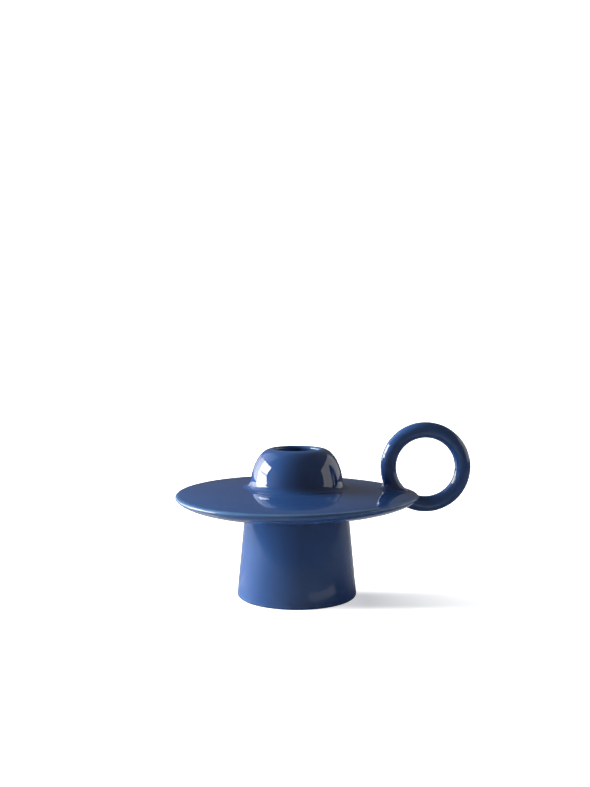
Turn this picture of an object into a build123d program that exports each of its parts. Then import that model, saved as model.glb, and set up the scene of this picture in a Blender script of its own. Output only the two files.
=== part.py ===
from build123d import *
import os
from math import cos, radians, sin, tan

# Chamberstick with a finger ring, in millimetres: a broad saucer on a hollow flared foot, a low dome that
# takes one candle, and an upright ring luted to the rim. Every piece is clay, joined with slip while damp
# and glazed over as one. The origin is the centre of the foot on the table. +Z is up and the ring is at +X.

# Pedestal foot: a hollow cone, wider at the table, open below.
foot_height = 43.5
foot_base_radius = 30.7
foot_top_radius = 26.55
foot_edge_rounding = 1.2
foot_inner_rounding = 1.0

# Saucer: a brim that swells gently from its crisp rim up to the crown under the dome, and a shallow
# bowl of an underside. Its thickness is taken at the rim, and rim_lean is the brim's slope there.
saucer_radius = 62.0
saucer_thickness = 9.0
crown_rise = 3.5
rim_lean = 16.0
crown_run_share = 0.27
brim_run_share = 0.18
rim_rounding = 1.0
underside_fall_share = 0.22
underside_run_share = 0.70

# Dome: rises upright from the saucer's crown and turns over into the lip.
dome_base_radius = 23.8
dome_height = 19.6
dome_rise_share = 0.455
dome_shoulder_share = 0.617

# Candle cup: a closed tube set in the mouth of the dome, with the lip rolled into its bore.
candle_diameter = 22.0
candle_clearance = 0.25
cup_depth = 25.0
cup_wall = 3.6
lip_rounding = 1.35
cup_floor_rounding = 2.0
cup_base_rounding = 3.0

# Finger ring: a round coil of clay bent to a circle, whose centreline comes down to the level of
# the rim ring_inset inside it, at ring_lean from upright.
ring_radius = 19.0
ring_thickness = 8.1
ring_inset = 9.5
ring_lean = 44.3

# Slip: the layer of liquid clay that lutes each piece to the saucer, wiped to a soft corner outside.
slip_thickness = 0.6
dome_corner_radius = 4.8
foot_corner_radius = 1.2
ring_top_corner_radius = 3.0
ring_under_corner_radius = 1.0

# Wall of the cast shells, foot and dome alike.
clay_wall = 4.6

# Heights and radii that follow from the sizes above.
rim_top = foot_height + saucer_thickness
crown_top = rim_top + crown_rise
dome_top = crown_top + dome_height
bore_radius = candle_diameter / 2 + candle_clearance
cup_radius = bore_radius + cup_wall
crest_radius = bore_radius + lip_rounding
cup_floor = dome_top - cup_depth
cup_bottom = cup_floor - cup_wall
well_radius = dome_base_radius - clay_wall
ring_centre_x = saucer_radius - ring_inset + ring_radius * sin(radians(ring_lean))
ring_centre_z = rim_top + ring_radius * cos(radians(ring_lean))


def turned(section):
    """Turn a half section, drawn as radius and height, about the upright axis, its seam away from the ring."""
    return Rot(Z=180) * revolve(Plane.XZ * section, Axis.Z)


def block(inner, outer, low, high):
    """A rectangle of the half section, between two radii and two heights."""
    outline = Polyline((inner, low), (outer, low), (outer, high), (inner, high), close=True)
    return make_face(outline)


def dome_region(base_radius, top):
    """The half section under a dome that starts upright on the saucer and ends level at the lip's crest."""
    rise = top - crown_top
    reach = base_radius - crest_radius
    shoulder = Bezier(
        (base_radius, crown_top),
        (base_radius, crown_top + dome_rise_share * rise),
        (crest_radius + dome_shoulder_share * reach, top),
        (crest_radius, top),
    )
    sides = Polyline((crest_radius, top), (0, top), (0, crown_top), (base_radius, crown_top))
    return make_face(shoulder + sides)


def pedestal_foot():
    """Hollow cone with a rounded foot ring, level on the table and level under the saucer."""
    outline = Polyline(
        (foot_base_radius, 0),
        (foot_top_radius, foot_height),
        (foot_top_radius - clay_wall, foot_height),
        (foot_base_radius - clay_wall, 0),
        close=True,
    )
    section = make_face(outline)
    standing = section.vertices().group_by(Axis.Y)[0].sort_by(Axis.X)
    section = fillet(standing[-1], foot_edge_rounding)
    inner = section.vertices().group_by(Axis.Y)[0].sort_by(Axis.X)[0]
    return turned(fillet(inner, foot_inner_rounding))


def saucer_section(margin):
    """Half section of the saucer, level at its crown and under its middle, or of one larger by a margin."""
    rim_base = rim_top - rim_rounding
    edge = saucer_radius + margin
    crown = crown_top + margin
    low = foot_height - margin
    rim = CenterArc((saucer_radius - rim_rounding, rim_base), rim_rounding + margin, 0, 90 - rim_lean)
    brim_end = rim @ 1
    reach = brim_end.X - dome_base_radius
    brim_run = brim_run_share * reach
    brim = Bezier(
        brim_end,
        (brim_end.X - brim_run, brim_end.Y + brim_run * tan(radians(rim_lean))),
        (dome_base_radius + crown_run_share * reach, crown),
        (dome_base_radius, crown),
    )
    underside = Bezier(
        (edge, rim_base),
        (edge, rim_base - underside_fall_share * (rim_base - low)),
        (foot_top_radius + underside_run_share * (edge - foot_top_radius), low),
        (foot_top_radius, low),
    )
    rest = Polyline(
        (foot_top_radius, low),
        (well_radius - margin, low),
        (well_radius - margin, crown),
        (dome_base_radius, crown),
    )
    return make_face(rim + brim + underside + rest)


def candle_dome():
    """Domed shell of even wall, standing on the saucer round its well and open at the mouth."""
    shell = dome_region(dome_base_radius, dome_top) - dome_region(well_radius, dome_top - clay_wall)
    mouth = block(0, cup_radius, crown_top, dome_top)
    return turned(shell - mouth)


def candle_cup():
    """Closed tube that hangs in the mouth of the dome and carries the lip, the bore and its floor."""
    crown = dome_region(dome_base_radius, dome_top) & block(0, cup_radius, crown_top, dome_top)
    body = block(0, cup_radius, cup_bottom, crown_top)
    body = fillet(body.vertices().group_by(Axis.Y)[0].sort_by(Axis.X)[-1], cup_base_rounding)
    bore = block(0, bore_radius, cup_floor, dome_top)
    bore = fillet(bore.vertices().group_by(Axis.Y)[0].sort_by(Axis.X)[-1], cup_floor_rounding)
    corner = block(bore_radius, crest_radius, dome_top - lip_rounding, dome_top)
    roll = corner - Pos(crest_radius, dome_top - lip_rounding) * Circle(lip_rounding)
    return turned(crown + body - bore - roll)


def whole_ring():
    """The finger ring before its ends are cut to the saucer."""
    return Pos(ring_centre_x, 0, ring_centre_z) * Rot(X=90) * Torus(ring_radius, ring_thickness / 2)


def corner_circle(solid, radius, height):
    """The edge of a turned solid that runs round it at this radius and height."""
    rounds = solid.edges().filter_by(GeomType.CIRCLE)
    return rounds.sort_by(lambda edge: abs(edge.radius - radius) + abs(edge.arc_center.Z - height))[0]


def slip(corners, radius, height):
    """The slip that lutes a piece to the saucer near this height: its layer, and the corner it softens."""
    left = fillet(corners, radius) - plate - luted
    return left.solids().sort_by(lambda solid: abs(solid.center().Z - height))[0]


def turned_slip(piece, contact_radius, contact_height, radius):
    """The slip under a turned piece, with its bead round the outside."""
    return slip(corner_circle(plate + piece, contact_radius, contact_height), radius, contact_height)


def ring_slips():
    """The slip at the ring's two ends: on top of the rim, and under it, where the ring comes out."""
    corners = new_edges(plate, ring, combined=plate + ring)
    top = corners.filter_by(lambda edge: edge.center().Z > rim_top)
    under = corners.filter_by(lambda edge: edge.center().Z < rim_top)
    top_slip = slip(top, ring_top_corner_radius, crown_top)
    return top_slip, slip(under, ring_under_corner_radius, foot_height)


plate = turned(saucer_section(0))
slip_reach = turned(saucer_section(slip_thickness))
foot = pedestal_foot()
dome = candle_dome()
ring = whole_ring()
luted = foot - slip_reach + (dome - slip_reach) + (ring - slip_reach)
ring_top_slip, ring_under_slip = ring_slips()
pieces = {
    "pedestal_foot": foot - slip_reach,
    "saucer": plate,
    "candle_dome": dome - slip_reach,
    "candle_cup": candle_cup(),
    "finger_ring": ring - slip_reach,
    "foot_slip": turned_slip(foot, foot_top_radius, foot_height, foot_corner_radius),
    "dome_slip": turned_slip(dome, dome_base_radius, crown_top, dome_corner_radius),
    "ring_top_slip": ring_top_slip,
    "ring_under_slip": ring_under_slip,
}
os.makedirs("parts", exist_ok=True)
for node, piece in pieces.items():
    export_step(piece, "parts/" + node + ".step")
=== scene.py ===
"""Looks of a glazed chamberstick with a finger ring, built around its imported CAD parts.

Every piece is made in millimetres from the same sizes as the part's source, bent a little as the kiln
bent the saucer, and handed to Blender in metres.
"""

from __future__ import annotations

import logging
import math
from collections.abc import Callable
from dataclasses import dataclass, field
from enum import Enum

import bpy
import numpy as np
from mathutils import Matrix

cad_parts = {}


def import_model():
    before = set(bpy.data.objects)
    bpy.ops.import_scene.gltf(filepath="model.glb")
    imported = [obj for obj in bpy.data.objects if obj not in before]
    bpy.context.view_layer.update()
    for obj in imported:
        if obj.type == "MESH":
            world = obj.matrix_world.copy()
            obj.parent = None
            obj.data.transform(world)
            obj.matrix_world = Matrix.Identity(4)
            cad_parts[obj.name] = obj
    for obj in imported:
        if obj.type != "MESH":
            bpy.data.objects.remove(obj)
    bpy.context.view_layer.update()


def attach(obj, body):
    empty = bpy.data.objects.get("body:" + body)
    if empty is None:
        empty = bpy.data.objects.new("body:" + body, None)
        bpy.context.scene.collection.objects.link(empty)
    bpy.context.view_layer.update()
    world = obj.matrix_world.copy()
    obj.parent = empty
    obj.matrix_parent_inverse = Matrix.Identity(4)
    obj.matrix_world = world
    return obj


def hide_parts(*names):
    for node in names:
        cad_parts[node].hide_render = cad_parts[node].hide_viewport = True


MM = 0.001
ROOT = "root"
# How thick the glaze lies at each point, which on the saucer's rim also paints a highlight.
THICKNESS_AND_RIM_SHEEN = "glaze_thickness_and_rim_sheen"
LOG = logging.getLogger("chamberstick")

# Two numbers, a place in the studio, and corners as shares of a distance.
Pair = tuple[float, float]
Place = tuple[float, float, float]
Shares = tuple[Pair, ...]
WHITE = "#FFFFFF"

# A length that counts as nothing, the decimals of a millimetre to which patches are welded, the bands
# of a curve on which a touching point is looked up, and the halvings of a root search.
TINY = 1e-12
WELD_DECIMALS = 5
FINE_BANDS = 4000
HALVINGS = 48


class Side(Enum):
    """Which end of the finger ring meets the saucer: the one on top of the rim, or the one under it."""

    TOP = "top"
    UNDER = "under"


class Measure(Enum):
    """One of the two numbers that place a point of a half section."""

    RADIUS = 0
    HEIGHT = 1


# Sections and surfaces.


@dataclass(frozen=True)
class Run:
    """One smooth stretch of a turned section, with the clay on its left.

    Args:
        points: radius and height of each point, in millimetres.
        normals: unit normals out of the clay at those points.
    """

    points: np.ndarray
    normals: np.ndarray

    @classmethod
    def along(cls, points: np.ndarray, tangents: np.ndarray) -> Run:
        """A run from points and tangents; the normal is the tangent turned to the right.

        Args:
            points: radius and height of each point.
            tangents: direction of travel at each point.

        Returns:
            The run.
        """
        lengths = np.linalg.norm(tangents, axis=1, keepdims=True)
        unit = tangents / np.maximum(lengths, TINY)
        return cls(points, np.column_stack((unit[:, 1], -unit[:, 0])))

    @classmethod
    def line(cls, start: Pair, end: Pair, steps: int = 1) -> Run:
        """A straight run.

        Args:
            start: radius and height where it starts.
            end: radius and height where it ends.
            steps: number of bands along it.

        Returns:
            The run.
        """
        share = np.linspace(0.0, 1.0, steps + 1)[:, None]
        first, last = np.array(start, float), np.array(end, float)
        points = first + share * (last - first)
        return cls.along(points, np.tile(last - first, (steps + 1, 1)))

    @classmethod
    def arc(
        cls,
        centre: Pair,
        radius: float,
        start: float,
        end: float,
        steps: int,
    ) -> Run:
        """A round run, outside the clay's corner where it turns left and inside it where it turns right.

        Args:
            centre: radius and height of the arc's centre.
            radius: radius of the arc.
            start: angle at its start, in degrees.
            end: angle at its end, in degrees.
            steps: number of bands along it.

        Returns:
            The run.
        """
        angle = np.radians(np.linspace(start, end, steps + 1))
        points = np.array(centre) + radius * np.column_stack((np.cos(angle), np.sin(angle)))
        turn = 1.0 if end > start else -1.0
        return cls.along(points, turn * np.column_stack((-np.sin(angle), np.cos(angle))))

    @classmethod
    def bezier(
        cls,
        controls: list[Pair],
        steps: int,
        start: float = 0.0,
        end: float = 1.0,
    ) -> Run:
        """A cubic run, or the part of it between two shares.

        Args:
            controls: the four control points.
            steps: number of bands along it.
            start: share of the curve at which the run starts.
            end: share at which it ends, which may be less than start.

        Returns:
            The run.
        """
        a, b, c, d = (np.array(point, float) for point in controls)
        t = np.linspace(start, end, steps + 1)[:, None]
        points = (1 - t) ** 3 * a + 3 * (1 - t) ** 2 * t * b + 3 * (1 - t) * t**2 * c + t**3 * d
        tangents = (1 - t) ** 2 * (b - a) + 2 * (1 - t) * t * (c - b) + t**2 * (d - c)
        return cls.along(points, tangents if end > start else -tangents)


@dataclass
class Surface:
    """Patches of a closed skin with the normal of each corner, in millimetres."""

    points: list[np.ndarray] = field(default_factory=list)
    faces: list[np.ndarray] = field(default_factory=list)
    normals: list[np.ndarray] = field(default_factory=list)
    count: int = 0

    def add_grid(self, points: np.ndarray, normals: np.ndarray) -> None:
        """Adds a grid of quads whose normal is columns crossed with rows.

        Args:
            points: rows by columns by 3.
            normals: the normal at each point.
        """
        rows, columns = points.shape[:2]
        index = np.arange(rows * columns).reshape(rows, columns)
        quads = np.stack((index[:-1, :-1], index[:-1, 1:], index[1:, 1:], index[1:, :-1]), axis=-1)
        quads = quads.reshape(-1, 4)
        self.points.append(points.reshape(-1, 3))
        self.faces.append(quads + self.count)
        self.normals.append(normals.reshape(-1, 3)[quads])
        self.count += rows * columns

    def add_cap(self, loop: np.ndarray, rings: int, normal: np.ndarray) -> None:
        """Closes a loop with rings of quads that shrink to its middle.

        Args:
            loop: points round the loop, first and last the same, counter-clockwise about the normal.
            rings: number of rings.
            normal: one normal for the whole cap.
        """
        middle = loop[:-1].mean(axis=0)
        shares = np.linspace(0.0, 1.0, rings + 1)[:, None, None]
        points = loop[None] + shares * (middle - loop)[None]
        self.add_grid(points, np.broadcast_to(normal, points.shape))

    def welded(self) -> tuple[np.ndarray, list[list[int]], np.ndarray]:
        """Joins the patches where their points coincide, and drops corners that fall together.

        Returns:
            The vertices, the faces and one normal for each corner of each face.
        """
        points, faces = np.vstack(self.points), np.vstack(self.faces)
        normals = np.vstack(self.normals)
        rounded = np.round(points, WELD_DECIMALS)
        _, first, inverse = np.unique(rounded, axis=0, return_index=True, return_inverse=True)
        faces = inverse.reshape(-1)[faces]
        kept_faces: list[list[int]] = []
        kept_normals: list[np.ndarray] = []
        same = faces == np.roll(faces, 1, axis=1)
        for face, corner_normals, doubled in zip(faces, normals, same):
            keep = ~doubled
            # Three corners are the least that make a face.
            if keep.sum() > 2:
                kept_faces.append(face[keep].tolist())
                kept_normals.append(corner_normals[keep])
        return points[first], kept_faces, np.vstack(kept_normals)


def turned(section: list[Run], around: int) -> Surface:
    """Turns a half section about the upright axis.

    Args:
        section: the runs round the section, with the clay on their left.
        around: number of steps round the axis.

    Returns:
        The turned skin.
    """
    angle = np.linspace(0.0, 2 * math.pi, around + 1)
    angle[-1] = 0.0
    cosine, sine = np.cos(angle), np.sin(angle)
    skin = Surface()
    for run in section:
        radius, height = run.points[:, :1], run.points[:, 1:]
        out, up = run.normals[:, :1], run.normals[:, 1:]
        level = np.ones_like(cosine)
        points = np.stack((radius * cosine, radius * sine, height * level), axis=-1)
        normals = np.stack((out * cosine, out * sine, up * level), axis=-1)
        skin.add_grid(points, normals)
    return skin


def nearest(points: np.ndarray, place: np.ndarray) -> tuple[int, float]:
    """Finds the point nearest to a place.

    Args:
        points: radius and height of each point.
        place: radius and height of the place.

    Returns:
        The point's index, and how far it is away.
    """
    away = np.linalg.norm(points - place, axis=1)
    index = int(np.argmin(away))
    return index, float(away[index])


def bearing(way: np.ndarray) -> float:
    """The angle of a direction in a half section, in degrees from 0 to 360."""
    return math.degrees(math.atan2(way[1], way[0])) % 360


# What the kiln and the glaze did.


@dataclass(frozen=True)
class KilnWarp:
    """The slight saddle that firing gave the saucer, which fades out down the foot.

    Args:
        rise: how far the rim is lifted or lowered, halfway between the axes, in millimetres.
        reach: radius at which it is.
        still_below: height up to which nothing moves.
        full_above: height from which the saddle is whole.
    """

    rise: float = 0.62
    reach: float = 62.0
    still_below: float = 6.0
    full_above: float = 40.0

    def bend(self, points: np.ndarray) -> np.ndarray:
        """Lifts and lowers points.

        Args:
            points: positions in millimetres, n by 3.

        Returns:
            The bent positions.
        """
        lift, _ = self._lift(points)
        return points + np.column_stack((0 * lift, 0 * lift, lift))

    def tilt(self, points: np.ndarray, normals: np.ndarray) -> np.ndarray:
        """Turns normals as bend() turns the surface under them.

        Args:
            points: positions before bending, n by 3.
            normals: unit normals at them.

        Returns:
            The turned normals, of unit length.
        """
        _, slope = self._lift(points)
        turned_normals = normals - slope * (normals[:, 2:] / (1 + slope[:, 2:]))
        return turned_normals / np.linalg.norm(turned_normals, axis=1, keepdims=True)

    def _lift(self, points: np.ndarray) -> tuple[np.ndarray, np.ndarray]:
        """Works out how far each point is lifted.

        Args:
            points: positions in millimetres, n by 3.

        Returns:
            The lift at each point, and how it changes along x, y and z.
        """
        x, y, z = points.T
        span = self.full_above - self.still_below
        share = np.clip((z - self.still_below) / span, 0.0, 1.0)
        ease = share * share * (3 - 2 * share)
        ease_slope = 6 * share * (1 - share) / span
        saddle = -2 * self.rise / self.reach**2
        slope = np.column_stack((saddle * y * ease, saddle * x * ease, saddle * x * y * ease_slope))
        return saddle * x * y * ease, slope


@dataclass(frozen=True)
class GlazeLine:
    """A rim or corner round the axis, where the glaze lies thinner or thicker.

    Args:
        radius: its radius in millimetres.
        height: its height in millimetres.
        spread: how far its effect spreads, in millimetres.
        change: the change of thickness there.
    """

    radius: float
    height: float
    spread: float
    change: float


@dataclass(frozen=True)
class GlazeFlow:
    """How thick the glaze lies: it draws back from rims and lips and gathers in corners.

    The pale line on the saucer's rim is partly thin glaze and partly a painted highlight.
    """

    even: float = 0.5
    # The saucer's rim line is partly thin glaze and partly a painted highlight along the rim.
    saucer_rim: GlazeLine = GlazeLine(61.3, 52.4, 1.1, -0.42)
    lip: GlazeLine = GlazeLine(12.4, 75.5, 1.6, -0.15)
    foot_edge: GlazeLine = GlazeLine(30.4, 0.9, 1.6, -0.1)
    dome_corner: GlazeLine = GlazeLine(25.0, 57.0, 3.4, 0.1)
    foot_corner: GlazeLine = GlazeLine(27.0, 43.0, 2.2, 0.3)
    cup_floor: GlazeLine = GlazeLine(9.0, 51.5, 4.0, 0.4)

    @property
    def lines(self) -> tuple[GlazeLine, ...]:
        """All the lines: first where the glaze draws back, then where it gathers."""
        drawn_back = (self.saucer_rim, self.lip, self.foot_edge)
        return (*drawn_back, self.dome_corner, self.foot_corner, self.cup_floor)

    def thickness(self, points: np.ndarray) -> np.ndarray:
        """Relative thickness at each point, where 0 is a bare rim and 1 a full corner.

        Args:
            points: positions in millimetres, n by 3.

        Returns:
            One number for each point.
        """
        radius, height = np.hypot(points[:, 0], points[:, 1]), points[:, 2]
        result = np.full(len(points), self.even)
        for line in self.lines:
            far = np.hypot(radius - line.radius, height - line.height) / line.spread
            result += line.change * np.exp(-far * far)
        return np.clip(result, 0.0, 1.0)


@dataclass(frozen=True)
class Maker:
    """Turns a skin into a Blender piece that stands for a CAD node."""

    warp: KilnWarp
    flow: GlazeFlow
    glaze: bpy.types.Material

    def piece(self, name: str, skin: Surface, node: str) -> bpy.types.Object:
        """Makes the piece, dresses it in glaze and puts it on the part.

        Args:
            name: name of the piece.
            skin: its closed skin.
            node: the CAD node it stands for.

        Returns:
            The Blender object.
        """
        points, faces, corner_normals = skin.welded()
        places = points[np.concatenate([np.array(face) for face in faces])]
        corner_normals = self.warp.tilt(places, corner_normals)
        thickness = self.flow.thickness(points)
        mesh = bpy.data.meshes.new(name)
        mesh.from_pydata((self.warp.bend(points) * MM).tolist(), [], faces)
        mesh.shade_smooth()
        mesh.normals_split_custom_set(corner_normals.tolist())
        layer = mesh.attributes.new(THICKNESS_AND_RIM_SHEEN, "FLOAT", "POINT")
        layer.data.foreach_set("value", thickness.astype(np.float32))
        mesh.materials.append(self.glaze)
        made = placed(name, mesh)
        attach(made, ROOT)
        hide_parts(node)
        LOG.info("%s stands for %s: %d faces", name, node, len(faces))
        return made


# The clay pieces.


@dataclass(frozen=True)
class Saucer:
    """The brim: it swells from a crisp rim up to the crown, and its underside sweeps in to the foot."""

    radius: float = 62.0
    top: float = 52.5
    thickness: float = 9.0
    crown_rise: float = 3.5
    crown_radius: float = 23.8
    rim_lean: float = 16.0
    crown_run_share: float = 0.27
    brim_run_share: float = 0.18
    rim_rounding: float = 1.0
    underside_fall_share: float = 0.22
    underside_run_share: float = 0.70
    foot_radius: float = 26.55
    well_radius: float = 19.2
    # Bands along the stretches of the section, and steps round the axis.
    underside_bands: int = 56
    rim_bands: int = 12
    brim_bands: int = 40
    flat_bands: int = 2
    outline_bands: tuple[int, int, int] = (600, 120, 500)
    around: int = 256

    @property
    def low(self) -> float:
        """Height of the underside over the foot."""
        return self.top - self.thickness

    @property
    def crown(self) -> float:
        """Height of the level crown under the dome."""
        return self.top + self.crown_rise

    def rim(self, steps: int) -> Run:
        """The rounding of the rim, from its widest point up to the brim."""
        centre = (self.radius - self.rim_rounding, self.top - self.rim_rounding)
        return Run.arc(centre, self.rim_rounding, 0, 90 - self.rim_lean, steps)

    def brim(self, steps: int, start: float = 0.0, end: float = 1.0) -> Run:
        """The brim's upper side from the rim in to the crown, or part of it.

        Args:
            steps: number of bands.
            start: share of the curve at which it starts.
            end: share at which it ends.

        Returns:
            The run.
        """
        edge, height = (float(value) for value in self.rim(1).points[-1])
        reach = edge - self.crown_radius
        run = self.brim_run_share * reach
        controls = [
            (edge, height),
            (edge - run, height + run * math.tan(math.radians(self.rim_lean))),
            (self.crown_radius + self.crown_run_share * reach, self.crown),
            (self.crown_radius, self.crown),
        ]
        return Run.bezier(controls, steps, start, end)

    def underside(self, steps: int, start: float = 0.0, end: float = 1.0) -> Run:
        """The underside from the foot out to the rim, or part of it.

        Args:
            steps: number of bands.
            start: share of the curve at which it starts.
            end: share at which it ends.

        Returns:
            The run.
        """
        rim_base = self.top - self.rim_rounding
        controls = [
            (self.foot_radius, self.low),
            (self.foot_radius + self.underside_run_share * (self.radius - self.foot_radius), self.low),
            (self.radius, rim_base - self.underside_fall_share * (rim_base - self.low)),
            (self.radius, rim_base),
        ]
        return Run.bezier(controls, steps, start, end)

    def section(self) -> list[Run]:
        """Draws the saucer.

        Returns:
            The runs round its half section.
        """
        well_foot, well_head = (self.well_radius, self.low), (self.well_radius, self.crown)
        return [
            Run.line(well_foot, (self.foot_radius, self.low), self.flat_bands),
            self.underside(self.underside_bands),
            self.rim(self.rim_bands),
            self.brim(self.brim_bands),
            Run.line((self.crown_radius, self.crown), well_head, self.flat_bands),
            Run.line(well_head, well_foot, self.flat_bands),
        ]

    def outline(self) -> tuple[np.ndarray, np.ndarray]:
        """Samples the outside alone closely, for other pieces to lean on.

        Returns:
            The points and the normals.
        """
        parts = (self.underside, self.rim, self.brim)
        runs = [part(bands) for part, bands in zip(parts, self.outline_bands)]
        return np.vstack([run.points for run in runs]), np.vstack([run.normals for run in runs])

    def clearance(self, points: np.ndarray) -> tuple[np.ndarray, np.ndarray]:
        """How far points are outside the saucer, and the direction away from it.

        Args:
            points: positions in millimetres, n by 3.

        Returns:
            Distances, negative inside, and unit directions out of the saucer, n by 3.
        """
        outline, outline_normals = self.outline()
        radius = np.hypot(points[:, 0], points[:, 1])
        flat = np.column_stack((radius, points[:, 2]))
        away = flat[:, None, :] - outline[None]
        index = np.argmin((away**2).sum(axis=2), axis=1)
        normal = outline_normals[index]
        distance = ((flat - outline[index]) * normal).sum(axis=1)
        spoke = points[:, :2] / np.maximum(radius, TINY)[:, None]
        return distance, np.column_stack((spoke * normal[:, :1], normal[:, 1:]))

    def make(self, maker: Maker) -> None:
        """Builds the saucer."""
        maker.piece("saucer_glazed", turned(self.section(), self.around), "saucer")


@dataclass(frozen=True)
class Pedestal:
    """The hollow flared foot, and the slip that lutes it under the saucer."""

    saucer: Saucer
    base_radius: float = 30.7
    top_radius: float = 26.55
    wall: float = 4.6
    edge_rounding: float = 1.2
    inner_rounding: float = 1.0
    slip_thickness: float = 0.6
    corner_radius: float = 1.2
    # The bead touches the foot between these shares of its radius below the saucer.
    touch_shares: Pair = (3.0, 0.5)
    # The foot was wiped dry up to this height.
    dry_height: float = 0.25
    edge_bands: int = 12
    inner_bands: int = 10
    side_bands: int = 30
    inside_bands: int = 12
    dry_bands: int = 3
    bead_bands: int = 14
    flat_bands: int = 2
    around: int = 192

    @property
    def flare(self) -> float:
        """How much the foot's radius grows for each millimetre down."""
        return (self.base_radius - self.top_radius) / self.saucer.low

    def side(self, height: float) -> float:
        """Outside radius at a height."""
        return self.base_radius - self.flare * height

    def foot_section(self) -> list[Run]:
        """Draws the foot.

        Returns:
            The runs round its half section.
        """
        head = self.saucer.low - self.slip_thickness
        lean = math.degrees(math.atan(self.flare))
        secant = math.hypot(1.0, self.flare)
        outer, inner = self.edge_rounding, self.inner_rounding
        outer_centre = (self.side(outer) - outer * secant, outer)
        inner_centre = (self.side(inner) - self.wall + inner * secant, inner)
        outer_arc = Run.arc(outer_centre, outer, -90, lean, self.edge_bands)
        inner_arc = Run.arc(inner_centre, inner, 180 + lean, 270, self.inner_bands)
        head_out, head_in = (self.side(head), head), (self.side(head) - self.wall, head)
        return [
            inner_arc,
            Run.line(tuple(inner_arc.points[-1]), tuple(outer_arc.points[0]), self.dry_bands),
            outer_arc,
            Run.line(tuple(outer_arc.points[-1]), head_out, self.side_bands),
            Run.line(head_out, head_in, self.flat_bands),
            Run.line(head_in, tuple(inner_arc.points[0]), self.inside_bands),
        ]

    def slip_section(self) -> list[Run]:
        """Draws the layer of slip under the saucer, with the bead in the corner outside the foot.

        Returns:
            The runs round its half section.
        """
        radius, low = self.corner_radius, self.saucer.low
        head = low - self.slip_thickness
        lean = math.atan(self.flare)
        out = radius * np.array([math.cos(lean), math.sin(lean)])
        curve = self.saucer.underside(FINE_BANDS)

        def gap(height: float) -> float:
            """Room under the saucer for a ball as round as the bead, beside the foot at a height."""
            return nearest(curve.points, np.array([self.side(height), height]) + out)[1] - radius

        lowest, highest = (low - share * radius for share in self.touch_shares)
        touch = float(root(gap, lowest, highest))
        foot_touch = np.array([self.side(touch), touch])
        centre = foot_touch + out
        index, _ = nearest(curve.points, centre)
        start, end = bearing(foot_touch - centre), bearing(curve.points[index] - centre)
        inner, outer = self.side(head) - self.wall, self.side(head)
        return [
            Run.line((inner, head), (outer, head), self.flat_bands),
            Run.line((outer, head), tuple(foot_touch), self.flat_bands),
            Run.arc(tuple(centre), radius, start, end, self.bead_bands),
            self.saucer.underside(self.flat_bands, index / FINE_BANDS, 0.0),
            Run.line((self.saucer.foot_radius, low), (inner, low), self.flat_bands),
            Run.line((inner, low), (inner, head)),
        ]

    def make(self, maker: Maker, dry: bpy.types.Material) -> None:
        """Builds the foot and its slip.

        Args:
            maker: turns skins into pieces.
            dry: the bare clay of the wiped ring that the foot stands on.
        """
        skin = turned(self.foot_section(), self.around)
        foot = maker.piece("pedestal_foot_glazed", skin, "pedestal_foot")
        foot.data.materials.append(dry)
        dry_index = len(foot.data.materials) - 1
        for polygon in foot.data.polygons:
            if polygon.center.z < self.dry_height * MM:
                polygon.material_index = dry_index
        maker.piece("foot_slip_glazed", turned(self.slip_section(), self.around), "foot_slip")


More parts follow.
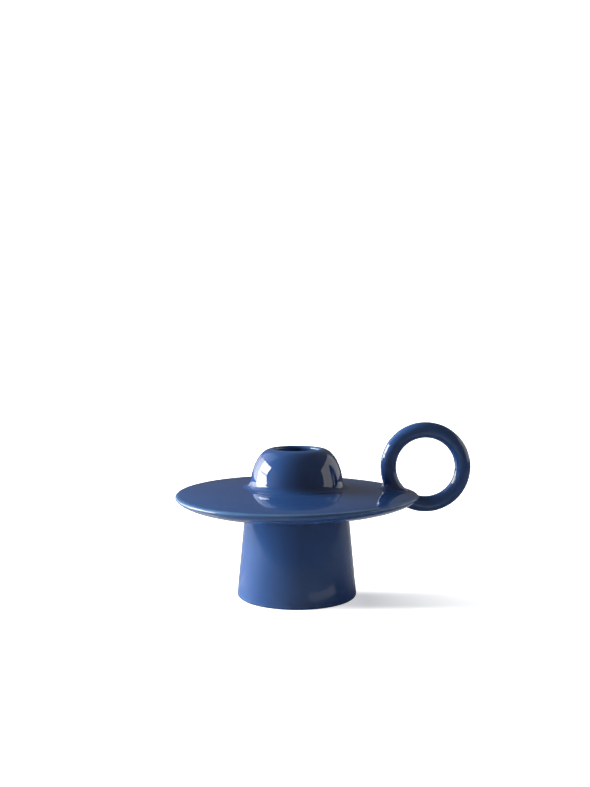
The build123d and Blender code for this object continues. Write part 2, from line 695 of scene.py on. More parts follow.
@dataclass(frozen=True)
class CandleDome:
    """The dome in the middle of the saucer, the slip round its base, and the cup for the candle."""

    saucer: Saucer
    base_radius: float = 23.8
    height: float = 19.6
    rise_share: float = 0.455
    shoulder_share: float = 0.617
    wall: float = 4.6
    bore_radius: float = 11.25
    lip_rounding: float = 1.35
    cup_wall: float = 3.6
    cup_depth: float = 25.0
    floor_rounding: float = 2.0
    base_rounding: float = 3.0
    slip_thickness: float = 0.6
    corner_radius: float = 4.8
    outside_bands: int = 48
    inside_bands: int = 20
    corner_bands: int = 28
    below_bands: int = 3
    behind_bands: int = 4
    crown_bands: int = 14
    lip_bands: int = 16
    bore_bands: int = 12
    cup_side_bands: int = 8
    rounding_bands: int = 10
    floor_bands: int = 6
    flat_bands: int = 2
    around: int = 192

    @property
    def top(self) -> float:
        """Height of the lip's crest."""
        return self.saucer.crown + self.height

    @property
    def crest_radius(self) -> float:
        """Radius of the lip's crest."""
        return self.bore_radius + self.lip_rounding

    @property
    def cup_radius(self) -> float:
        """Outside radius of the cup."""
        return self.bore_radius + self.cup_wall

    def shoulder(self, base_radius: float, top: float) -> list[Pair]:
        """Draws a dome's outline, from its upright base to its level crest.

        Args:
            base_radius: radius of its base.
            top: height of its crest.

        Returns:
            Its four control points.
        """
        low = self.saucer.crown
        return [
            (base_radius, low),
            (base_radius, low + self.rise_share * (top - low)),
            (self.crest_radius + self.shoulder_share * (base_radius - self.crest_radius), top),
            (self.crest_radius, top),
        ]

    def share_at(self, controls: list[Pair], measure: Measure, value: float) -> float:
        """Looks up where a dome's outline has a radius or a height.

        Args:
            controls: the outline's control points.
            measure: whether the value is a radius or a height.
            value: the value, in millimetres.

        Returns:
            The share of the outline at which it has it.
        """
        past_base = 1e-6

        def miss(share: float) -> float:
            """How far the outline is from the value at a share."""
            return float(Run.bezier(controls, 1, 0.0, float(share)).points[-1][measure.value]) - value

        return float(root(miss, past_base, 1.0))

    def dome_section(self) -> list[Run]:
        """Draws the dome's shell.

        Returns:
            The runs round its half section.
        """
        foot = self.saucer.crown + self.slip_thickness
        outer = self.shoulder(self.base_radius, self.top)
        inner = self.shoulder(self.base_radius - self.wall, self.top - self.wall)
        outer_start = self.share_at(outer, Measure.HEIGHT, foot)
        outer_end = self.share_at(outer, Measure.RADIUS, self.cup_radius)
        inner_start = self.share_at(inner, Measure.RADIUS, self.cup_radius)
        inner_end = self.share_at(inner, Measure.HEIGHT, foot)
        outside = Run.bezier(outer, self.outside_bands, outer_start, outer_end)
        inside = Run.bezier(inner, self.inside_bands, inner_start, inner_end)
        return [
            Run.line(tuple(inside.points[-1]), tuple(outside.points[0]), self.flat_bands),
            outside,
            Run.line(tuple(outside.points[-1]), tuple(inside.points[0]), self.flat_bands),
            inside,
        ]

    def slip_section(self) -> list[Run]:
        """Draws the layer of slip under the dome, with the wide corner from which the dome rises.

        Returns:
            The runs round its half section.
        """
        radius, low = self.corner_radius, self.saucer.crown
        controls = self.shoulder(self.base_radius, self.top)
        side, brim = Run.bezier(controls, FINE_BANDS), self.saucer.brim(FINE_BANDS)
        beside, above = (curve.points + radius * curve.normals for curve in (side, brim))
        room = beside[:, 1] - np.interp(beside[:, 0], above[::-1, 0], above[::-1, 1])
        side_touch = int(np.argmax(room > 0))
        centre = beside[side_touch]
        brim_touch, _ = nearest(brim.points, centre)
        start, end = bearing(brim.points[brim_touch] - centre), bearing(side.points[side_touch] - centre)
        inner, head = self.base_radius - self.wall, low + self.slip_thickness
        head_share = self.share_at(controls, Measure.HEIGHT, head)
        behind = Run.bezier(controls, self.behind_bands, side_touch / FINE_BANDS, head_share)
        return [
            Run.line((inner, low), (self.base_radius, low), self.flat_bands),
            self.saucer.brim(self.below_bands, 1.0, brim_touch / FINE_BANDS),
            Run.arc(tuple(centre), radius, start, end, self.corner_bands),
            behind,
            Run.line(tuple(behind.points[-1]), (inner, head), self.flat_bands),
            Run.line((inner, head), (inner, low)),
        ]

    def cup_section(self) -> list[Run]:
        """Draws the cup, from the middle of its base up and over the lip to its floor.

        Returns:
            The runs along its half section.
        """
        outer = self.shoulder(self.base_radius, self.top)
        join = self.share_at(outer, Measure.RADIUS, self.cup_radius)
        crown = Run.bezier(outer, self.crown_bands, join, 1.0)
        base = self.top - self.cup_depth - self.cup_wall
        floor = self.top - self.cup_depth
        bend, lip, corner = self.base_rounding, self.lip_rounding, self.floor_rounding
        wall_foot = (self.cup_radius, base + bend)
        wall_head = (self.cup_radius, float(crown.points[0][1]))
        bore_head, bore_foot = (self.bore_radius, self.top - lip), (self.bore_radius, floor + corner)
        floor_edge = self.bore_radius - corner
        return [
            Run.line((0.0, base), (self.cup_radius - bend, base), self.floor_bands),
            Run.arc((self.cup_radius - bend, base + bend), bend, -90, 0, self.rounding_bands),
            Run.line(wall_foot, wall_head, self.cup_side_bands),
            crown,
            Run.arc((self.crest_radius, self.top - lip), lip, 90, 180, self.lip_bands),
            Run.line(bore_head, bore_foot, self.bore_bands),
            Run.arc((floor_edge, floor + corner), corner, 0, -90, self.rounding_bands),
            Run.line((floor_edge, floor), (0.0, floor), self.floor_bands),
        ]

    def make(self, maker: Maker) -> None:
        """Builds the dome, its slip and the cup.

        Args:
            maker: turns skins into pieces.
        """
        maker.piece("candle_dome_glazed", turned(self.dome_section(), self.around), "candle_dome")
        maker.piece("dome_slip_glazed", turned(self.slip_section(), self.around), "dome_slip")
        maker.piece("candle_cup_glazed", turned(self.cup_section(), self.around), "candle_cup")


@dataclass(frozen=True)
class FingerRing:
    """The coil of clay bent to a ring, and the slip at each of its two ends."""

    saucer: Saucer
    radius: float = 19.0
    thickness: float = 8.1
    inset: float = 9.5
    lean: float = 44.3
    top_corner_radius: float = 3.0
    under_corner_radius: float = 1.0
    slip_thickness: float = 0.6
    # The ring meets the saucer between these angles, in degrees from +X towards +Z.
    top_search: Pair = (150.0, 262.0)
    under_search: Pair = (-40.0, -150.0)
    search_steps: int = 224
    around_tube: int = 72
    along_ring: int = 168
    web_bands: int = 14
    cap_rings: int = 3

    @property
    def centre(self) -> np.ndarray:
        """Works the ring's centre out from the place where its centreline comes down to the rim.

        Returns:
            The centre, in millimetres.
        """
        lean = math.radians(self.lean)
        x = self.saucer.radius - self.inset + self.radius * math.sin(lean)
        return np.array([x, 0.0, self.saucer.top + self.radius * math.cos(lean)])

    def place(
        self,
        along: np.ndarray,
        round_tube: np.ndarray,
        tube: float,
    ) -> tuple[np.ndarray, np.ndarray]:
        """Points on a tube about the ring's centreline, and the directions out of the tube.

        Args:
            along: angles round the ring, in radians, from +X towards +Z.
            round_tube: angles round the tube, in radians, from away from the ring's centre towards +Y.
            tube: radius of the tube.

        Returns:
            The points and the unit directions, each with 3 in its last axis.
        """
        spoke = np.stack((np.cos(along), 0 * along, np.sin(along)), axis=-1)
        side = np.array([0.0, 1.0, 0.0])
        out = np.cos(round_tube)[..., None] * spoke + np.sin(round_tube)[..., None] * side
        return self.centre + self.radius * spoke + tube * out, out

    def meeting(
        self,
        side: Side,
        round_tube: np.ndarray,
        tube: float,
        distance: float,
    ) -> np.ndarray:
        """Angles round the ring at which a tube first comes within a distance of the saucer.

        Args:
            side: which end of the ring.
            round_tube: angles round the tube.
            tube: radius of the tube.
            distance: the distance from the saucer.

        Returns:
            One angle for each angle round the tube, in radians.
        """
        start, end = self.top_search if side is Side.TOP else self.under_search
        steps = np.radians(np.linspace(start, end, self.search_steps + 1))

        def gap(along: np.ndarray) -> np.ndarray:
            """Distance left at an angle round the ring for each angle round the tube."""
            points, _ = self.place(along, round_tube, tube)
            return self.saucer.clearance(points)[0] - distance

        inside = np.stack([gap(np.full_like(round_tube, step)) < 0 for step in steps])
        first = np.argmax(inside, axis=0)
        return root(gap, steps[first - 1], steps[first])

    def tube_angles(self) -> np.ndarray:
        """Spreads angles round the tube.

        Returns:
            The angles in radians, the last the same as the first.
        """
        angle = np.linspace(0.0, 2 * math.pi, self.around_tube + 1)
        angle[-1] = 0.0
        return angle

    def ring_skin(self) -> Surface:
        """Builds the coil between its two cut ends.

        Returns:
            The closed skin.
        """
        turn = self.tube_angles()
        tube = self.thickness / 2
        start = self.meeting(Side.UNDER, turn, tube, self.slip_thickness)
        end = self.meeting(Side.TOP, turn, tube, self.slip_thickness)
        share = np.linspace(0.0, 1.0, self.along_ring + 1)[:, None]
        along = start[None] + share * (end - start)[None]
        points, out = self.place(along, np.broadcast_to(turn, along.shape), tube)
        skin = Surface()
        skin.add_grid(points, out)
        for loop in (points[0][::-1], points[-1]):
            _, away = self.saucer.clearance(loop.mean(axis=0)[None])
            skin.add_cap(loop, self.cap_rings, -away[0])
        return skin

    def slip_skin(self, side: Side) -> Surface:
        """Builds the slip at one end: a thin layer in line with the coil, and the web round it.

        Args:
            side: which end of the ring.

        Returns:
            The closed skin.
        """
        ball = self.top_corner_radius if side is Side.TOP else self.under_corner_radius
        tube, turn = self.thickness / 2, self.tube_angles()
        centres, out = self.place(self.meeting(side, turn, tube + ball, ball), turn, tube + ball)
        _, away = self.saucer.clearance(centres)
        from_saucer, from_tube = -away, -out
        angle = np.arccos(np.clip((from_saucer * from_tube).sum(axis=1), -1, 1))[:, None]
        share = np.linspace(0.0, 1.0, self.web_bands + 1)[:, None, None]
        towards_saucer, towards_tube = np.sin((1 - share) * angle), np.sin(share * angle)
        spokes = (towards_saucer * from_saucer + towards_tube * from_tube) / np.sin(angle)
        web = centres[None] + ball * spokes
        head, head_out = self.place(self.meeting(side, turn, tube, self.slip_thickness), turn, tube)
        skin = Surface()
        order = slice(None, None, -1) if side is Side.TOP else slice(None)
        skin.add_grid(web[:, order], -spokes[:, order])
        skin.add_grid(np.stack((web[-1], head))[:, order], -np.stack((head_out, head_out))[:, order])
        flat = away.mean(axis=0)
        flat = flat / np.linalg.norm(flat)
        skin.add_cap(head[order], self.cap_rings, flat)
        skin.add_cap(web[0][order][::-1], self.cap_rings, -flat)
        return skin

    def make(self, maker: Maker) -> None:
        """Builds the ring and the slip at its two ends.

        Args:
            maker: turns skins into pieces.
        """
        maker.piece("finger_ring_glazed", self.ring_skin(), "finger_ring")
        maker.piece("ring_top_slip_glazed", self.slip_skin(Side.TOP), "ring_top_slip")
        maker.piece("ring_under_slip_glazed", self.slip_skin(Side.UNDER), "ring_under_slip")


def root(function: Callable, low: float | np.ndarray, high: float | np.ndarray) -> np.ndarray:
    """Where a function changes sign between two values, or between each pair of values of two arrays.

    Args:
        function: takes and returns numbers or arrays, with opposite signs at the two values.
        low: one value, or an array.
        high: the other.

    Returns:
        The values at the change.
    """
    low_sign = function(low) > 0
    for _ in range(HALVINGS):
        middle = (low + high) / 2
        same = (function(middle) > 0) == low_sign
        low, high = np.where(same, middle, low), np.where(same, high, middle)
    return (low + high) / 2


# Finishes.


def linear(colour: str) -> tuple[float, float, float, float]:
    """Turns an sRGB hex colour into the linear values that Blender works in.

    Args:
        colour: a hash and six hex digits.

    Returns:
        Red, green, blue and an alpha of 1.
    """
    digits = colour.lstrip("#")
    parts = [int(digits[i : i + 2], 16) / 255 for i in (0, 2, 4)]
    red, green, blue = (p / 12.92 if p <= 0.04045 else ((p + 0.055) / 1.055) ** 2.4 for p in parts)
    return red, green, blue, 1.0


def own_nodes(owner: bpy.types.Material | bpy.types.World) -> bpy.types.NodeTree:
    """Empties the node tree of a material or world.

    Args:
        owner: the new material or world.

    Returns:
        Its tree, ready for its own nodes.
    """
    owner.use_nodes = True
    owner.node_tree.nodes.clear()
    return owner.node_tree


def add_node(
    tree: bpy.types.NodeTree,
    kind: str,
    settings: dict[str | int, object] | None = None,
    links: dict[str | int, bpy.types.NodeSocket] | None = None,
) -> bpy.types.Node:
    """Adds a node with its settings and links.

    Args:
        tree: the node tree.
        kind: Blender's name of the node type, after the word ShaderNode.
        settings: values by the name of a property, or by the name or number of an input socket.
        links: output sockets by the name or number of the input socket that they feed.

    Returns:
        The node.
    """
    made = tree.nodes.new("ShaderNode" + kind)
    for name, value in (settings or {}).items():
        if isinstance(name, int) or name in made.inputs:
            made.inputs[name].default_value = value
        else:
            setattr(made, name, value)
    for name, source in (links or {}).items():
        tree.links.new(source, made.inputs[name])
    return made


def ranges(taken: Pair, given: Pair) -> dict[str, float]:
    """Settings that carry one range of values over to another."""
    return dict(zip(("From Min", "From Max", "To Min", "To Max"), (*taken, *given)))


@dataclass(frozen=True)
class Pattern:
    """A soft random pattern in a finish.

    Args:
        spot_mm: width of one of its spots in millimetres.
        detail: how many finer layers it has.
        roughness: how strong those are.
    """

    spot_mm: float
    detail: float
    roughness: float

    def settings(self) -> dict[str, float]:
        """Its values for a noise node, whose scale is the number of spots in a metre."""
        return {"Scale": 1 / (self.spot_mm * MM), "Detail": self.detail, "Roughness": self.roughness}


@dataclass(frozen=True)
class CobaltGlaze:
    """Cobalt blue stoneware glaze, poured over the damp-joined clay and fired glossy.

    The eye gets a deep, even navy with window-sharp reflections that waver a little, a touch paler where
    the glaze has run off rims and lips, which on the saucer's rim also paints its highlight, and darker
    where it has gathered in corners.
    """

    # The thin shade is glaze run thin, and on the saucer's rim a painted highlight too.
    thin: str = "#54799F"
    even: str = "#2D4C7E"
    pooled: str = "#223C6A"
    shades_at: tuple[float, float, float] = (0.05, 0.5, 0.95)
    ior: float = 1.5
    roughness: float = 0.035
    roughness_shares: Pair = (0.7, 1.5)
    # Clouds where it was poured thicker, and slow waves where it sagged as it melted. Depths are in
    # millimetres.
    clouds: Pattern = Pattern(18.0, 3.0, 0.55)
    cloud_range: Pair = (0.25, 0.75)
    cloud_change: float = 0.09
    waves: Pattern = Pattern(26.0, 1.5, 0.4)
    wave_depth: float = 0.10
    # The peel of such a glaze is about 1 mm wide. It is drawn at 2.2 mm, as coarse as it needs to show.
    peel: Pattern = Pattern(2.2, 1.0, 0.4)
    peel_depth: float = 0.003

    def material(self) -> bpy.types.Material:
        """Mixes the glaze.

        Returns:
            Its material.
        """
        material = bpy.data.materials.new("cobalt_stoneware_glaze")
        tree = own_nodes(material)
        place = add_node(tree, "TexCoord").outputs["Object"]
        thickness = add_node(tree, "Attribute", {"attribute_name": THICKNESS_AND_RIM_SHEEN})
        cloud = add_node(tree, "TexNoise", self.clouds.settings(), {"Vector": place}).outputs["Fac"]
        change = ranges(self.cloud_range, (-self.cloud_change, self.cloud_change))
        poured = add_node(tree, "MapRange", change, {"Value": cloud})
        lie = add_node(
            tree,
            "Math",
            {"operation": "ADD", "use_clamp": True},
            {0: thickness.outputs["Fac"], 1: poured.outputs["Result"]},
        )
        shade = add_node(tree, "ValToRGB", {}, {"Fac": lie.outputs[0]})
        shade.color_ramp.interpolation = "EASE"
        shade.color_ramp.elements.new(self.shades_at[1])
        colours = (self.thin, self.even, self.pooled)
        for stop, position, colour in zip(shade.color_ramp.elements, self.shades_at, colours):
            stop.position = position
            stop.color = linear(colour)
        wave = add_node(tree, "TexNoise", self.waves.settings(), {"Vector": place})
        peel = add_node(tree, "TexNoise", self.peel.settings(), {"Vector": place})
        wave_depth, peel_depth = self.wave_depth * MM, self.peel_depth * MM
        swell = add_node(tree, "Bump", {"Distance": wave_depth}, {"Height": wave.outputs["Fac"]})
        skin = add_node(
            tree,
            "Bump",
            {"Distance": peel_depth},
            {"Height": peel.outputs["Fac"], "Normal": swell.outputs["Normal"]},
        )
        sharpest, softest = (self.roughness * share for share in self.roughness_shares)
        gloss = add_node(tree, "MapRange", {"To Min": sharpest, "To Max": softest}, {"Value": cloud})
        shader = add_node(
            tree,
            "BsdfPrincipled",
            {"IOR": self.ior, "Metallic": 0.0},
            {
                "Base Color": shade.outputs["Color"],
                "Roughness": gloss.outputs["Result"],
                "Normal": skin.outputs["Normal"],
            },
        )
        add_node(tree, "OutputMaterial", {}, {"Surface": shader.outputs["BSDF"]})
        return material


@dataclass(frozen=True)
class BareStoneware:
    """Fired stoneware without glaze, where the foot was wiped and rubbed flat before firing.

    The eye gets a dry, pale, faintly speckled ring under the foot.
    """

    speck: str = "#8F7F6B"
    clay: str = "#CFC3B2"
    shades_at: Pair = (0.3, 0.5)
    ior: float = 1.5
    roughness: float = 0.85
    # The coarser grains of its grit, and their depth in millimetres.
    grit: Pattern = Pattern(0.7, 4.0, 0.6)
    grit_depth: float = 0.05

    def material(self) -> bpy.types.Material:
        """Prepares the bare clay.

        Returns:
            Its material.
        """
        material = bpy.data.materials.new("bare_stoneware")
        tree = own_nodes(material)
        place = add_node(tree, "TexCoord").outputs["Object"]
        grit = add_node(tree, "TexNoise", self.grit.settings(), {"Vector": place}).outputs["Fac"]
        shade = add_node(tree, "ValToRGB", {}, {"Fac": grit})
        colours = (self.speck, self.clay)
        for stop, position, colour in zip(shade.color_ramp.elements, self.shades_at, colours):
            stop.position = position
            stop.color = linear(colour)
        rough = add_node(tree, "Bump", {"Distance": self.grit_depth * MM}, {"Height": grit})
        shader = add_node(
            tree,
            "BsdfPrincipled",
            {"IOR": self.ior, "Roughness": self.roughness},
            {"Base Color": shade.outputs["Color"], "Normal": rough.outputs["Normal"]},
        )
        add_node(tree, "OutputMaterial", {}, {"Surface": shader.outputs["BSDF"]})
        return material


# The studio, in metres.


class Way(Enum):
    """A direction in the studio: to the right, to the back or up."""

    RIGHT = 0
    BACK = 1
    UP = 2


def placed(name: str, data: bpy.types.ID) -> bpy.types.Object:
    """Makes an object and puts it in the scene.

    Args:
        name: name of the object.
        data: its mesh or camera.

    Returns:
        The object.
    """
    made = bpy.data.objects.new(name, data)
    bpy.context.scene.collection.objects.link(made)
    return made


def sheet(name: str, places: list[Place]) -> bpy.types.Object:
    """Makes one flat face.

    Args:
        name: name of the sheet.
        places: its corners, counter-clockwise as seen from its front.

    Returns:
        The object.
    """
    mesh = bpy.data.meshes.new(name)
    mesh.from_pydata(places, [], [tuple(range(len(places)))])
    made = placed(name, mesh)
    return made


@dataclass(frozen=True)
class Glow:
    """How a flat light shines.

    Args:
        radiance: brightness at its low and its high end along the way, where a white sheet is 1.
        way: the direction along which its brightness changes.
        tint: its colour.
        mirrored: its colour in its first mirror image in the glaze, as film holds back a highlight.
    """

    radiance: Pair
    way: Way
    tint: str
    mirrored: str = WHITE


@dataclass(frozen=True)
class Panel:
    """A flat soft light: window glass with the sky behind it, or a surface that the window lights.

    Args:
        name: name of the panel.
        places: its corners, counter-clockwise as seen from the part.
        glow: how it shines.
    """

    name: str
    places: list[Place]
    glow: Glow

    def make(self) -> None:
        """Builds the panel as a glowing sheet that the camera itself doesn't see."""
        # Light that the glaze mirrored once has a depth of 1, and light that it mirrored twice has 2.
        once_and_half = 1.5
        way = self.glow.way.value
        ends = [place[way] for place in self.places]
        made = sheet(self.name, self.places)
        material = bpy.data.materials.new(self.name)
        tree = own_nodes(material)
        place = add_node(tree, "TexCoord").outputs["Object"]
        parts = add_node(tree, "SeparateXYZ", {}, {"Vector": place})
        fade = ranges((min(ends), max(ends)), self.glow.radiance)
        power = add_node(tree, "MapRange", fade, {"Value": parts.outputs[way]})
        path = add_node(tree, "LightPath").outputs
        limit = {"operation": "LESS_THAN", 1: once_and_half}
        once = add_node(tree, "Math", limit, {0: path["Ray Depth"]})
        mirror = add_node(
            tree,
            "Math",
            {"operation": "MULTIPLY"},
            {0: once.outputs[0], 1: path["Is Glossy Ray"]},
        )
        colours = {1: linear(self.glow.tint), 2: linear(self.glow.mirrored)}
        colour = add_node(tree, "MixRGB", colours, {0: mirror.outputs[0]})
        light = add_node(
            tree,
            "Emission",
            {},
            {"Color": colour.outputs[0], "Strength": power.outputs["Result"]},
        )
        add_node(tree, "OutputMaterial", {}, {"Surface": light.outputs["Emission"]})
        made.data.materials.append(material)
        made.visible_camera = False
        made.visible_shadow = False
        LOG.info("%s lights the set", self.name)


@dataclass(frozen=True)
class WindowWall:
    """The wall on the left, with a tall window of two panes and a sheer curtain at its back end.

    A part's corners are shares of the wall's distance, which is away: along the wall to the back, and up
    from level, a height a little over the brim.
    """

    away: float = 1.2
    level: float = 0.062
    lower_pane_shares: Shares = ((-0.25, -0.015), (-0.10, 0.245), (0.53, 0.245), (0.53, -0.015))
    upper_pane_shares: Shares = ((-0.10, 0.262), (-0.195, 0.576), (0.53, 0.60), (0.53, 0.262))
    shaded_curtain_shares: Shares = ((1.37, -0.015), (1.37, 0.5), (3.0, 0.6), (3.0, -0.015))
    curtain_shares: Shares = ((0.53, -0.015), (0.53, 0.60), (1.37, 0.625), (1.37, -0.015))
    beside_shares: Shares = ((-1.3, 0.0), (-1.3, 0.60), (-0.25, 0.60), (-0.25, 0.0))
    above_shares: Shares = ((0.1, 0.62), (0.1, 1.7), (1.8, 1.7), (1.8, 0.62))
    glass: Glow = Glow((30.0, 24.0), Way.BACK, "#F4FAFF", "#D8D4C8")
    shaded_curtain: Glow = Glow((2.0, 0.8), Way.BACK, "#EEEFFF", "#F4F2EC")
    curtain: Glow = Glow((11.0, 3.0), Way.BACK, "#EEEFFF", "#CAC4B0")
    beside: Glow = Glow((0.15, 1.0), Way.BACK, "#F2F6FF", "#F2F2F0")
    above: Glow = Glow((4.4, 2.0), Way.UP, "#F2F6FF", "#959492")

    def panels(self) -> list[Panel]:
        """Sets out the window, its curtain and the wall round them.

        Returns:
            The panels.
        """
        parts = {
            "window_lower_pane": (self.lower_pane_shares, self.glass),
            "window_upper_pane": (self.upper_pane_shares, self.glass),
            "curtain_in_shade": (self.shaded_curtain_shares, self.shaded_curtain),
            "window_curtain": (self.curtain_shares, self.curtain),
            "wall_beside_window": (self.beside_shares, self.beside),
            "wall_above_window": (self.above_shares, self.above),
        }
        away, level = self.away, self.level
        panels = []
        for name, (shares, glow) in parts.items():
            places = [(-away, along * away, level + up * away) for along, up in shares]
            panels.append(Panel(name, places, glow))
        return panels


@dataclass(frozen=True)
class WhiteTable:
    """The white table: a sheet that the camera sees, one that the part sees, and two lit patches.

    The first glows with painted light, which whitens it round the part: the real shadow shows only in
    a painted band beside the foot, deepest there and paler to both sides.
    """

    seen_radius: float = 3.0
    seen_paint: str = "#F6F4EE"
    seen_roughness: float = 0.9
    # The painted glow leaves the shadow along X. The glow rises to both sides over its reach, and to the
    # front and back, over its edge, to the glow of the open table.
    shadow_middle: Place = (0.035, -0.0115, 0.0)
    shadow_reach: float = 0.05
    painted_shadow_glow: Pair = (0.46, 0.79)
    shadow_edge: Pair = (0.008, 0.025)
    open_table_glow: float = 1.1
    bounce_radius: float = 0.45
    bounce_height: float = -0.00005
    bounce_paint: str = "#D8D6D3"
    bounce_mirrored: str = "#B2B0AD"
    bounce_roughness: float = 0.8
    bounce_specular: float = 0.2
    sides: int = 96
    patch_height: float = 0.0003
    beside_bearings: Pair = (-98.0, -64.0)
    beside_reach: Pair = (0.06, 0.45)
    beside: Glow = Glow((1.3, 1.15), Way.RIGHT, "#F4FAFF")
    front_bearings: Pair = (112.0, 160.0)
    front_reach: Pair = (0.08, 0.14)
    front: Glow = Glow((0.75, 0.75), Way.RIGHT, "#F6F8FF")

    def disc(self, name: str, radius: float, height: float) -> bpy.types.Object:
        """Makes a round sheet about the part's axis.

        Args:
            name: name of the sheet.
            radius: its radius.
            height: its height.

        Returns:
            The sheet.
        """
        angle = np.linspace(0.0, 2 * math.pi, self.sides + 1)[:-1]
        level = np.full_like(angle, height)
        points = np.column_stack((radius * np.cos(angle), radius * np.sin(angle), level))
        return sheet(name, points.tolist())

    def patch(self, name: str, bearings: Pair, reach: Pair, glow: Glow) -> Panel:
        """Sets out a patch of window light on the table, as the part mirrors it.

        Args:
            name: name of the patch.
            bearings: where it starts and ends, in degrees from the back to the right.
            reach: its nearest and farthest distance from the part's axis.
            glow: how it shines.

        Returns:
            Its panel.
        """
        first, last = (math.radians(degrees) for degrees in bearings)
        near, far = reach
        ways = ((first, near), (first, far), (last, far), (last, near))
        height = self.patch_height
        places = [(away * math.sin(turn), away * math.cos(turn), height) for turn, away in ways]
        return Panel(name, places, glow)

    def panels(self) -> list[Panel]:
        """Sets out the two patches that the window lights most.

        Returns:
            The panels.
        """
        return [
            self.patch("window_light_beside", self.beside_bearings, self.beside_reach, self.beside),
            self.patch("window_light_in_front", self.front_bearings, self.front_reach, self.front),
        ]

    def seen_material(self) -> bpy.types.Material:
        """Lays the white surface, whose painted glow leaves the shadow only beside the foot.

        Returns:
            Its material.
        """
        material = bpy.data.materials.new("white_table_seen")
        tree = own_nodes(material)
        place = add_node(tree, "TexCoord").outputs["Object"]
        middle = {"operation": "SUBTRACT", 1: self.shadow_middle}
        aside = add_node(tree, "VectorMath", middle, {0: place})
        off = add_node(tree, "VectorMath", {"operation": "ABSOLUTE"}, {0: aside.outputs[0]})
        parts = add_node(tree, "SeparateXYZ", {}, {"Vector": off.outputs[0]})
        along = ranges((0.0, self.shadow_reach), self.painted_shadow_glow)
        deepest = add_node(tree, "MapRange", along, {"Value": parts.outputs["X"]})
        across = ranges(self.shadow_edge, (0.0, self.open_table_glow))
        light = add_node(
            tree,
            "MapRange",
            {"interpolation_type": "SMOOTHSTEP", **across},
            {"Value": parts.outputs["Y"], "To Min": deepest.outputs["Result"]},
        )
        paint = {"Base Color": linear(self.seen_paint), "Roughness": self.seen_roughness}
        # The sheet's emission is painted light: it whitens the table and leaves a painted shadow beside the
        # foot.
        shader = add_node(
            tree,
            "BsdfPrincipled",
            {**paint, "Emission Color": linear(WHITE)},
            {"Emission Strength": light.outputs["Result"]},
        )
        add_node(tree, "OutputMaterial", {}, {"Surface": shader.outputs["BSDF"]})
        return material

    def bounce_material(self) -> bpy.types.Material:
        """Paints the surface that lights the part from below and that its glaze mirrors.

        Returns:
            Its material.
        """
        material = bpy.data.materials.new("white_table_bounce")
        tree = own_nodes(material)
        path = add_node(tree, "LightPath")
        colours = {1: linear(self.bounce_paint), 2: linear(self.bounce_mirrored)}
        paint = add_node(tree, "MixRGB", colours, {0: path.outputs["Is Glossy Ray"]})
        matt = {"Roughness": self.bounce_roughness, "Specular IOR Level": self.bounce_specular}
        shader = add_node(tree, "BsdfPrincipled", matt, {"Base Color": paint.outputs[0]})
        add_node(tree, "OutputMaterial", {}, {"Surface": shader.outputs["BSDF"]})
        return material

    def make(self) -> None:
        """Lays the two sheets."""
        seen = self.disc("table_seen", self.seen_radius, 0.0)
        bounce = self.disc("table_bounce", self.bounce_radius, self.bounce_height)
        seen.data.materials.append(self.seen_material())
        seen.visible_glossy = False
        seen.visible_diffuse = False
        seen.visible_shadow = False
        bounce.data.materials.append(self.bounce_material())
        bounce.visible_camera = False


@dataclass(frozen=True)
class PaleWall:
    """The pale wall to the right and behind, brighter towards the front.

    Its bearing is in degrees from the back to the right. Its ends and head are shares of its distance,
    which is away, and it starts at level, a height a little over the brim.
    """

    away: float = 1.0
    level: float = 0.062
    bearing: float = 68.5
    front_share: float = 0.885
    back_share: float = -0.713
    head_share: float = 0.655
    glow: Glow = Glow((2.1, 0.9), Way.BACK, "#E4E7F2", "#FFFCF4")

    def panel(self) -> Panel:
        """Sets the wall up.

        Returns:
            Its panel.
        """
        turn = math.radians(self.bearing)
        out = np.array([math.sin(turn), math.cos(turn), 0.0])
        along = np.array([out[1], -out[0], 0.0])
        front, back, head = self.front_share, self.back_share, self.head_share
        places = []
        for side, height in ((front, 0.0), (front, head), (back, head), (back, 0.0)):
            x, y, _ = (self.away * (out + side * along)).tolist()
            places.append((x, y, self.level + height * self.away))
        return Panel("pale_wall", places, self.glow)


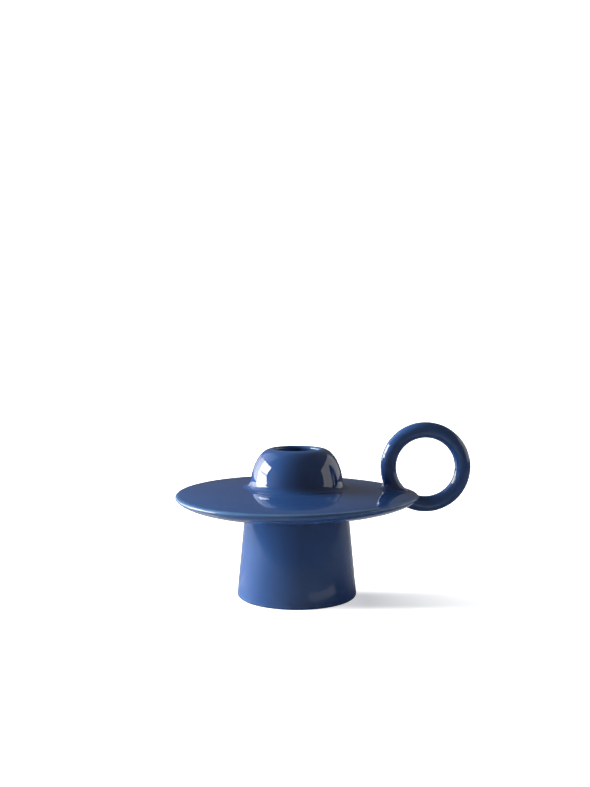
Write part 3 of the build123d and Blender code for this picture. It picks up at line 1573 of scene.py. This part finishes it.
@dataclass(frozen=True)
class Studio:
    """A white table beside a tall window in a dim room, with a pale wall on the other side."""

    table: WhiteTable = WhiteTable()
    window: WindowWall = WindowWall()
    wall: PaleWall = PaleWall()
    camera_place: Place = (0.0, -0.50708, 0.13531)
    camera_pitch: float = 3.567
    camera_turn: float = 0.104
    lens_mm: float = 45.63
    film_mm: float = 36.0
    clip: Pair = (0.01, 20.0)
    # The glaze mirrors a room that fades towards its dimmest way, and gets its soft light from an even one.
    dimmest_way: Place = (0.0, 1.0, -1.0)
    dimming_range: Pair = (0.2, 1.0)
    mirrored_light: Pair = (1.9, 0.85)
    soft_light: float = 0.2
    room_paint: str = "#5E6066"
    backdrop_light: float = 1.05

    def room(self) -> None:
        """The dim room round the part, dimmest low behind, and the clean white that the camera sees."""
        world = bpy.data.worlds.new("dim_room")
        bpy.context.scene.world = world
        tree = own_nodes(world)
        path = add_node(tree, "LightPath").outputs
        way = add_node(tree, "TexCoord").outputs["Generated"]
        dot = {"operation": "DOT_PRODUCT", 1: self.dimmest_way}
        low_behind = add_node(tree, "VectorMath", dot, {0: way}).outputs["Value"]
        fade = ranges(self.dimming_range, self.mirrored_light)
        mirrored = add_node(tree, "MapRange", fade, {"Value": low_behind})
        light = add_node(
            tree,
            "MapRange",
            {"To Min": self.soft_light},
            {"Value": path["Is Glossy Ray"], "To Max": mirrored.outputs["Result"]},
        )
        paint = {"Color": linear(self.room_paint)}
        dim = add_node(tree, "Background", paint, {"Strength": light.outputs["Result"]})
        white = add_node(tree, "Background", {"Color": linear(WHITE), "Strength": self.backdrop_light})
        both = add_node(
            tree,
            "MixShader",
            {},
            {0: path["Is Camera Ray"], 1: dim.outputs[0], 2: white.outputs[0]},
        )
        add_node(tree, "OutputWorld", {}, {"Surface": both.outputs[0]})

    def camera(self) -> None:
        """The camera of the photograph: higher than the lip, and looking a little down."""
        data = bpy.data.cameras.new("camera")
        data.lens = self.lens_mm
        data.sensor_width = self.film_mm
        data.clip_start, data.clip_end = self.clip
        made = placed("camera", data)
        made.location = self.camera_place
        tilt = math.radians(90 - self.camera_pitch)
        made.rotation_euler = (tilt, 0.0, math.radians(self.camera_turn))
        bpy.context.scene.camera = made

    def make(self) -> None:
        """Sets up the camera, the table, the lights and the room."""
        self.camera()
        self.table.make()
        for panel in (*self.window.panels(), *self.table.panels(), self.wall.panel()):
            panel.make()
        self.room()
        view = bpy.context.scene.view_settings
        view.view_transform = "Standard"
        view.look = "None"


# The whole.


def main() -> None:
    """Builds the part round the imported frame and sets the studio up."""
    logging.basicConfig(level=logging.INFO, format="%(name)s: %(message)s")
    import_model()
    maker = Maker(KilnWarp(), GlazeFlow(), CobaltGlaze().material())
    saucer = Saucer()
    saucer.make(maker)
    Pedestal(saucer).make(maker, BareStoneware().material())
    CandleDome(saucer).make(maker)
    FingerRing(saucer).make(maker)
    Studio().make()
    bpy.context.view_layer.update()
    LOG.info("sizes written")


if __name__ == "__main__":
    main()
